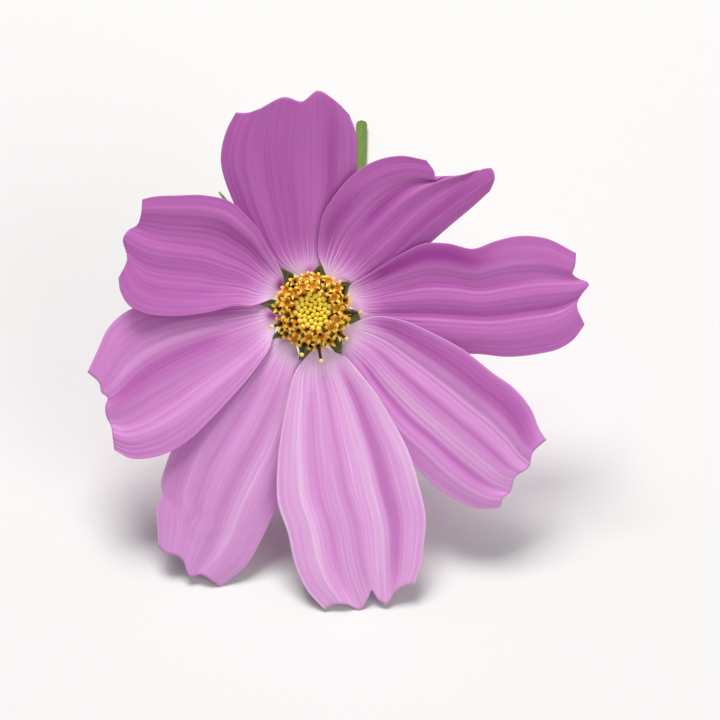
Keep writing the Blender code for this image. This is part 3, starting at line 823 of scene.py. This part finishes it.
@dataclass
class Involucre:
    """The bracts behind the head: inner erect ones and outer spreading ones."""

    inner_azimuths: tuple[float, ...] = (122, 81, 37, -5, -55, -105, -146, 173)
    inner_tips: tuple[float, ...] = (7.4, 7.0, 6.9, 7.0, 8.1, 8.1, 7.4, 8.0)
    inner_profile: Points = (
        (3.3, -8.15), (4.75, -7.35), (5.65, -6.2), (5.8, -4.5), (5.75, -2.5),
        (5.78, -1.2), (5.84, -0.4), (6.0, 0.35), (6.45, 1.0),
    )
    inner_half_widths: tuple[float, ...] = (0.95, 1.45, 1.8, 1.85, 1.85, 1.6, 1.05, 0.72, 0.42)
    tip_height: float = 1.5
    outer_first: float = 128
    outer_lengths: tuple[float, ...] = (24.6, 15.0, 13.5, 14.5, 16.0, 15.5, 13.0, 16.5)
    outer_rise: Points = ((1.7, -9.0), (3.6, -8.85), (6.0, -8.4), (10.0, -7.6), (18.0, -6.0), (25.0, -4.8))
    thickness: float = 0.25
    columns: int = 13

    def blade(self, profile: np.ndarray, half_widths: np.ndarray, azimuth: float, keel: float) -> tuple:
        """A bract bent round the head's axis, with a keel along its middle.

        Args:
            profile: (n, 2) radius and height along it.
            half_widths: one for each row.
            azimuth: its direction in degrees.
            keel: how far its middle stands out, in mm.

        Returns:
            Points in mm and UV in mm.
        """
        sides = np.linspace(-1.0, 1.0, self.columns)
        radius = profile[:, :1]
        angle = math.radians(azimuth) - sides[None] * half_widths[:, None] / radius
        reach = radius + keel * (1 - np.abs(sides[None])) * np.minimum(half_widths[:, None], 1.0)
        height = profile[:, 1:] - keel * 0.5 * (1 - np.abs(sides[None])) + 0 * angle
        rows = np.stack([reach * np.cos(angle), reach * np.sin(angle), height], axis=-1)
        length = np.concatenate([[0.0], np.cumsum(np.linalg.norm(np.diff(profile, axis=0), axis=1))])
        uv = np.stack([sides[None] * half_widths[:, None], length[:, None] + 0 * angle], axis=-1)
        return rows, uv

    def build(self, inner: bpy.types.Material, outer: bpy.types.Material) -> None:
        """Make the sixteen bracts.

        Args:
            inner: material of the erect ones.
            outer: material of the spreading ones.
        """
        u = np.linspace(0.0, 1.0, 40)
        for i, (azimuth, tip) in enumerate(zip(self.inner_azimuths, self.inner_tips), 1):
            profile = along_points((*self.inner_profile, (tip, self.tip_height)), u)
            places = np.array([*self.inner_profile, (tip, self.tip_height)])
            steps = np.linalg.norm(np.diff(places, axis=0), axis=1)
            knots = np.concatenate([[0.0], np.cumsum(steps)]) / steps.sum()
            widths = np.interp(u, knots, (*self.inner_half_widths, 0.05))
            rows, uv = self.blade(profile, widths, azimuth, 0.06)
            surface = Surface(f"inner_bract_{i}_blade")
            surface.add_grid(HEAD.to_world(rows), uv, (0.5 - 0.5 * ease(u, 0.75, 0.95))[:, None])
            add_solidify(surface.build(inner, "inner_bract", (f"inner_bract_{i}",)), self.thickness)
        for i, length in enumerate(self.outer_lengths):
            radii = self.outer_rise[0][0] + (length - self.outer_rise[0][0]) * u
            profile = np.stack([radii, height_at(self.outer_rise, radii)], axis=-1)
            widths = 0.45 * (1 - u) + 0.95 * np.sin(math.pi * u**0.6) + 0.05 * u
            rows, uv = self.blade(profile, widths, self.outer_first - 45 * i, 0.25)
            surface = Surface(f"outer_bract_{i + 1}_blade")
            surface.add_grid(HEAD.to_world(rows), uv, (0.15 + 0.3 * u)[:, None])
            add_solidify(surface.build(outer, "outer_bract", (f"outer_bract_{i + 1}",)), self.thickness)


@dataclass
class Disc:
    """The disc: unopened florets at the middle and two rings of open ones."""

    buds: int = 46
    bud_reach: float = 3.0
    dome: Points = ((0.0, 2.25), (1.5, 2.35), (2.5, 2.35), (3.5, 2.2))
    rings: tuple = (
        (18, ((4.0, -5.25), (4.05, -2.0), (4.15, -0.2), (4.45, 0.9), (4.95, 1.7), (5.35, 2.25)), 0.0),
        (14, ((3.0, -5.1), (3.02, -1.0), (3.1, 0.6), (3.35, 1.7), (3.7, 2.4), (4.0, 2.9)), 7.0),
    )
    cushion_radius: float = 5.1
    cushion_top: float = 1.1
    cushion_fall: float = 0.065
    cushion_foot: float = -5.0
    mouth_depth: float = 0.5
    rod_radii: tuple[float, ...] = (0.24, 0.25, 0.24, 0.25, 0.24, 0.2)
    tube_stations: tuple[float, ...] = (0, 0.6, 0.8, 0.92, 1.0)
    tube_radii: tuple[float, ...] = (0.35, 0.36, 0.5, 0.58, 0.5)
    long_anthers: tuple[tuple[int, float], ...] = ((0, 2.3), (14, 2.5), (13, 1.6), (16, 1.4), (10, 1.3))

    def build_buds(self, tissue: bpy.types.Material) -> None:
        """Unopened florets on a sunflower spiral: each turns 137.5 degrees from the last,
        at a radius that grows as a power of its number. Each is a grooved egg on a stalk."""
        surface = Surface("young_florets_buds")
        rng = np.random.default_rng(11)
        for k in range(self.buds):
            share = (k + 0.5) / self.buds
            radius = self.bud_reach * share**0.56
            angle = k * math.radians(137.508)
            size = 0.38 + 0.18 * share**0.6
            top = float(height_at(self.dome, np.array(radius))) + rng.normal(0, 0.06)
            lean = 0.16 * radius / self.bud_reach
            axis = np.array([lean * math.cos(angle), lean * math.sin(angle), 1.0])
            axis /= np.linalg.norm(axis)
            centre = np.array([radius * math.cos(angle), radius * math.sin(angle), top - size])
            egg = ball(centre, axis, (size, size * 1.15), 5, 0.16, 9, 20)
            rise = np.linspace(0, 1, 9)[:, None]
            # Painted light and shade: each bud is lighter towards its top and darker at its foot; buds
            # nearer the middle are darker.
            tone = 0.25 + 0.5 * ease(rise, 0.35, 0.8) - 0.2 * (1 - share) ** 2 + rng.uniform(-0.06, 0.06)
            surface.add_grid(HEAD.to_world(egg), None, tone, closed=True)
            stalk = np.linspace(centre - axis * size * 0.5, centre - axis * 3.0, 4)[::-1]
            skin = tube(stalk, np.full(4, size * 0.75), 8)
            # The bud stalks are dark: painted shade down between the buds.
            surface.add_grid(HEAD.to_world(skin), None, 0.05, closed=True)
        # A dark cushion under the buds: painted shade that fills the gaps between them.
        turn = np.linspace(0, 2 * math.pi, 40, endpoint=False)[None]
        reach = self.cushion_radius * np.linspace(0, 1, 12)[:, None]
        height = self.cushion_top - self.cushion_fall * reach**2 + 0 * turn
        rows = np.stack([reach * np.cos(turn), reach * np.sin(turn), height], axis=-1)
        foot = np.broadcast_to(np.array([0.0, 0.0, self.cushion_foot]), rows[:1].shape)
        closed = np.concatenate([foot, rows[::-1]])
        surface.add_grid(HEAD.to_world(closed), None, 0.0, closed=True)
        weld(surface.build(tissue, "disc_bud", ("young_florets",)))

    def lobe(
        self, centre: np.ndarray, axis: np.ndarray, out: np.ndarray, curl: float, size: float
    ) -> np.ndarray:
        """One corolla lobe: a pointed strip that leaves the tube's mouth and rolls outwards.

        Args:
            centre: middle of the mouth.
            axis: the tube's direction.
            out: unit direction from the middle to the lobe.
            curl: how far it turns, in radians.
            size: its length in mm.

        Returns:
            (rows, columns, 3) points in mm: a front and a back, joined at both edges and
            open at both ends.
        """
        width_way = np.cross(axis, out)
        s = np.linspace(0.0, 1.0, 7)
        bend = curl * s
        step = size / 6
        along = np.cumsum(np.cos(bend)) * step - step
        away = np.cumsum(np.sin(bend)) * step
        half = 0.3 * (1 - s**2.2) + 0.02
        columns = np.array([-1.0, -0.5, 0.0, 0.5, 1.0])
        hollow = -0.10 * (1 - columns**2)
        spine = centre + out * 0.36 + along[:, None] * axis + away[:, None] * out
        normal = np.cos(bend)[:, None] * out - np.sin(bend)[:, None] * axis
        sheet = (
            spine[:, None] + half[:, None, None] * columns[None, :, None] * width_way
            - hollow[None, :, None] * normal[:, None]
        )
        back = sheet + 0.06 * normal[:, None]
        return np.concatenate([sheet, back[:, ::-1]], axis=1)

    def build_florets(self, corolla: bpy.types.Material, anther: bpy.types.Material,
                      pollen: bpy.types.Material) -> None:
        """Open florets: a flaring tube and five curled lobes, some with a dark anther tube.

        Args:
            corolla: material of tubes and lobes.
            anther: material of the anther tubes.
            pollen: material of the knobs on the long anther tubes.
        """
        rng = np.random.default_rng(5)
        rods = Surface("anther_tubes")
        grains = Surface("pollen_masses")
        long = dict(self.long_anthers)
        number = 0
        for ring, (count, profile, first) in enumerate(self.rings):
            for k in range(count):
                number += 1
                angle = math.radians(first + 360 * k / count) + rng.normal(0, 0.04)
                shift = rng.normal(0, 0.10)
                way = np.array([math.cos(angle), math.sin(angle), 0.0])
                centres = np.array([r * way + (0, 0, z) for r, z in profile])
                path = along_points(centres, np.linspace(0, 1, 9))
                path[-3:] += shift * way
                radii = np.interp(np.linspace(0, 1, 9), self.tube_stations, self.tube_radii)
                floret = Surface(f"open_floret_{number:02d}_corolla")
                body = tube(path, radii, 10, 5, 0.06)
                axis = path[-1] - path[-2]
                axis /= np.linalg.norm(axis)
                body[-1] -= self.mouth_depth * axis
                # The tube is dark: painted shade down among the florets.
                floret.add_grid(HEAD.to_world(body), None, 0.25, closed=True)
                side, other = frame_of(axis)
                turn = rng.uniform(0, 2 * math.pi)
                for j in range(5):
                    a = turn + 2 * math.pi * j / 5
                    out = math.cos(a) * side + math.sin(a) * other
                    blade = self.lobe(path[-1], axis, out, rng.uniform(1.6, 2.9), rng.uniform(1.0, 1.5))
                    # Each lobe runs from painted shade at its foot to painted light at its tip.
                    tone = np.linspace(0.2, 0.95, 7)[:, None] + rng.uniform(-0.12, 0.1)
                    edge = 0.12 * np.abs(np.array([-1, -0.5, 0, 0.5, 1, 1, 0.5, 0, -0.5, -1]))[None]
                    floret.add_grid(HEAD.to_world(blade), None, tone + edge, closed=True)
                floret.build(corolla, "disc_floret", (f"open_floret_{number:02d}",))
                grown = ring == 0 and k in long
                if not grown and rng.uniform() > 0.4:
                    continue
                reach = long.get(k, rng.uniform(0.3, 0.8)) if ring == 0 else rng.uniform(0.1, 0.5)
                lie = axis * 0.45 + way * 0.9 if grown else axis
                lie = lie / np.linalg.norm(lie)
                foot = path[-1] - axis * 0.3
                rod = np.linspace(foot, foot + lie * (reach + 0.3), 6)
                skin = tube(rod, np.array(self.rod_radii), 9)
                rods.add_grid(HEAD.to_world(skin), None, 0.3, closed=True)
                if grown:
                    knob = ball(rod[-1] + lie * 0.12, lie, (0.4, 0.36), 4, 0.25, 8, 14)
                    grains.add_grid(HEAD.to_world(knob), None, rng.uniform(0.4, 0.8), closed=True)
        weld(rods.build(anther, "disc_floret"))
        weld(grains.build(pollen, "disc_floret"))

    def build(self, bud: bpy.types.Material, corolla: bpy.types.Material, anther: bpy.types.Material,
              pollen: bpy.types.Material) -> None:
        """Make the whole disc.

        Args:
            bud: material of the unopened florets.
            corolla: material of the open florets' tubes and lobes.
            anther: material of the rods.
            pollen: material of the knobs on the long rods.
        """
        self.build_buds(bud)
        self.build_florets(corolla, anther, pollen)


@dataclass
class Stalk:
    """The receptacle and the cut stalk, ribbed and slightly curved."""

    receptacle: Points = (
        (0.0, -5.4), (3.0, -5.45), (5.0, -5.8), (5.15, -6.1), (4.4, -6.9),
        (2.9, -7.7), (1.6, -8.3), (1.25, -9.0), (0.0, -9.0),
    )
    top: float = -9.3
    straight: float = -15.0
    route: tuple = (
        (-3.3, -3.4, 15.0), (-2.4, 4.6, 8.4), (-1.0, 13.4, 3.6), (0.9, 23.0, 1.5),
        (2.6, 33.0, 1.05), (3.6, 45.0, 1.05), (3.9, 57.7, 1.05),
    )

    def build(self, green: bpy.types.Material, head_green: bpy.types.Material) -> None:
        """Make the turned receptacle and the tube of the stalk.

        Args:
            green: the stalk's material.
            head_green: the receptacle's material.
        """
        profile = along_points(self.receptacle, np.linspace(0, 1, 40))
        angle = np.linspace(0, 2 * math.pi, 48, endpoint=False)
        radius = np.maximum(profile[:, 0], 0.0)[:, None] * (1 + 0.015 * np.cos(16 * angle))[None]
        height = profile[:, 1:] + 0 * radius
        rows = np.stack([radius * np.cos(-angle), radius * np.sin(-angle), height], axis=-1)
        cup = Surface("receptacle_body")
        uv = np.stack([angle[None] * 2 + 0 * radius, height], axis=-1)
        cup.add_grid(HEAD.to_world(rows), uv, 0.25, closed=True)
        weld(cup.build(head_green, "receptacle", ("receptacle",)))
        start = [HEAD.to_world(np.array([0.0, 0.0, z])) / MM for z in (self.top, self.straight)]
        path = along_points([*start, *self.route], np.linspace(0, 1, 120))
        radii = np.interp(np.linspace(0, 1, 120), (0, 0.02, 0.5, 1), (1.25, 1.08, 0.99, 0.98))
        stem = Surface("stem_ribbed")
        skin = tube(path, radii, 40, 8, 0.04) * MM
        length = np.linspace(0, 90, len(skin))[:, None]
        around = np.linspace(0, 6.4, 40)[None]
        uv = np.stack([around + 0 * length, length + 0 * around], axis=-1)
        stem.add_grid(skin, uv, 0.25, closed=True)
        weld(stem.build(green, "stem", ("stem",)))


@dataclass
class Studio:
    """Floor, lights and camera."""

    distance: float = 640.0
    lens: float = 200.0
    aim: tuple[float, float] = (7.6, -7.76)
    floor_size: float = 6.0
    sky_strength: float = 0.3

    def light(self, name: str, place: tuple[float, float, float], size: float, power: float) -> None:
        """Add a square lamp that looks at the head.

        Args:
            name: the lamp's name.
            place: in metres.
            size: its side, in metres.
            power: in watts.
        """
        lamp = bpy.data.lights.new(name, "AREA")
        lamp.size = size
        lamp.energy = power
        obj = bpy.data.objects.new(name, lamp)
        centre = np.array(HEAD.place) * MM
        gap = centre - np.array(place)
        flat = math.hypot(gap[0], gap[1])
        obj.location = place
        obj.rotation_euler = (math.atan2(flat, -gap[2]), 0.0, math.atan2(gap[1], gap[0]) - math.pi / 2)
        bpy.context.scene.collection.objects.link(obj)

    def build(self) -> None:
        """Lay the floor, hang the lights and set up the camera square to the disc."""
        bpy.ops.mesh.primitive_plane_add(size=self.floor_size)
        floor = bpy.context.object
        floor.name = "studio_floor"
        paper = NodeMaterial("studio_paper", 0.9, "#e4e2df")
        floor.data.materials.append(paper.material)
        world = bpy.data.worlds.new("studio")
        world.use_nodes = True
        world.node_tree.nodes["Background"].inputs["Color"].default_value = srgb("#f4f6ff")
        world.node_tree.nodes["Background"].inputs["Strength"].default_value = self.sky_strength
        bpy.context.scene.world = world
        bpy.context.scene.view_settings.view_transform = "Standard"
        self.light("key", (-0.10, 0.25, 0.9), 0.45, 8.2)
        self.light("fill", (0.5, -0.6, 0.5), 0.6, 2.6)
        lens = bpy.data.cameras.new("camera")
        lens.lens = self.lens
        lens.sensor_width = 36.0
        camera = bpy.data.objects.new("camera", lens)
        camera.location = HEAD.to_world(np.array([*self.aim, self.distance]))
        camera.rotation_euler = (HEAD.tilt, 0.0, 0.0)
        bpy.context.scene.collection.objects.link(camera)
        bpy.context.scene.camera = camera


def main() -> None:
    """Build the flower piece by piece, then the studio."""
    logging.basicConfig(level=logging.INFO, format="%(name)s: %(message)s")
    tissue = PetalTissue().make()
    inner = GreenTissue("inner_bract_tissue", "#343c12", "#8d983e").make()
    outer = GreenTissue("outer_bract_tissue", "#5f7f2c", "#b9cf86").make()
    stalk_green = GreenTissue("stalk_tissue", "#3f5a1e", "#87a24c", 0.4).make()
    bud = FloretTissue("bud_tissue", BUD_COLOURS)
    corolla = FloretTissue("corolla_tissue", COROLLA_COLOURS)
    anther = FloretTissue("anther_tube_tissue", ANTHER_COLOURS, 0.2, 0.6)
    pollen = FloretTissue("pollen_mass", POLLEN_COLOURS, 0.08, 0.8)
    Petals().build(tissue)
    Involucre().build(inner, outer)
    Disc().build(bud.make(), corolla.make(), anther.make(), pollen.make())
    Stalk().build(stalk_green, outer)
    Studio().build()


if __name__ == "__main__":
    main()
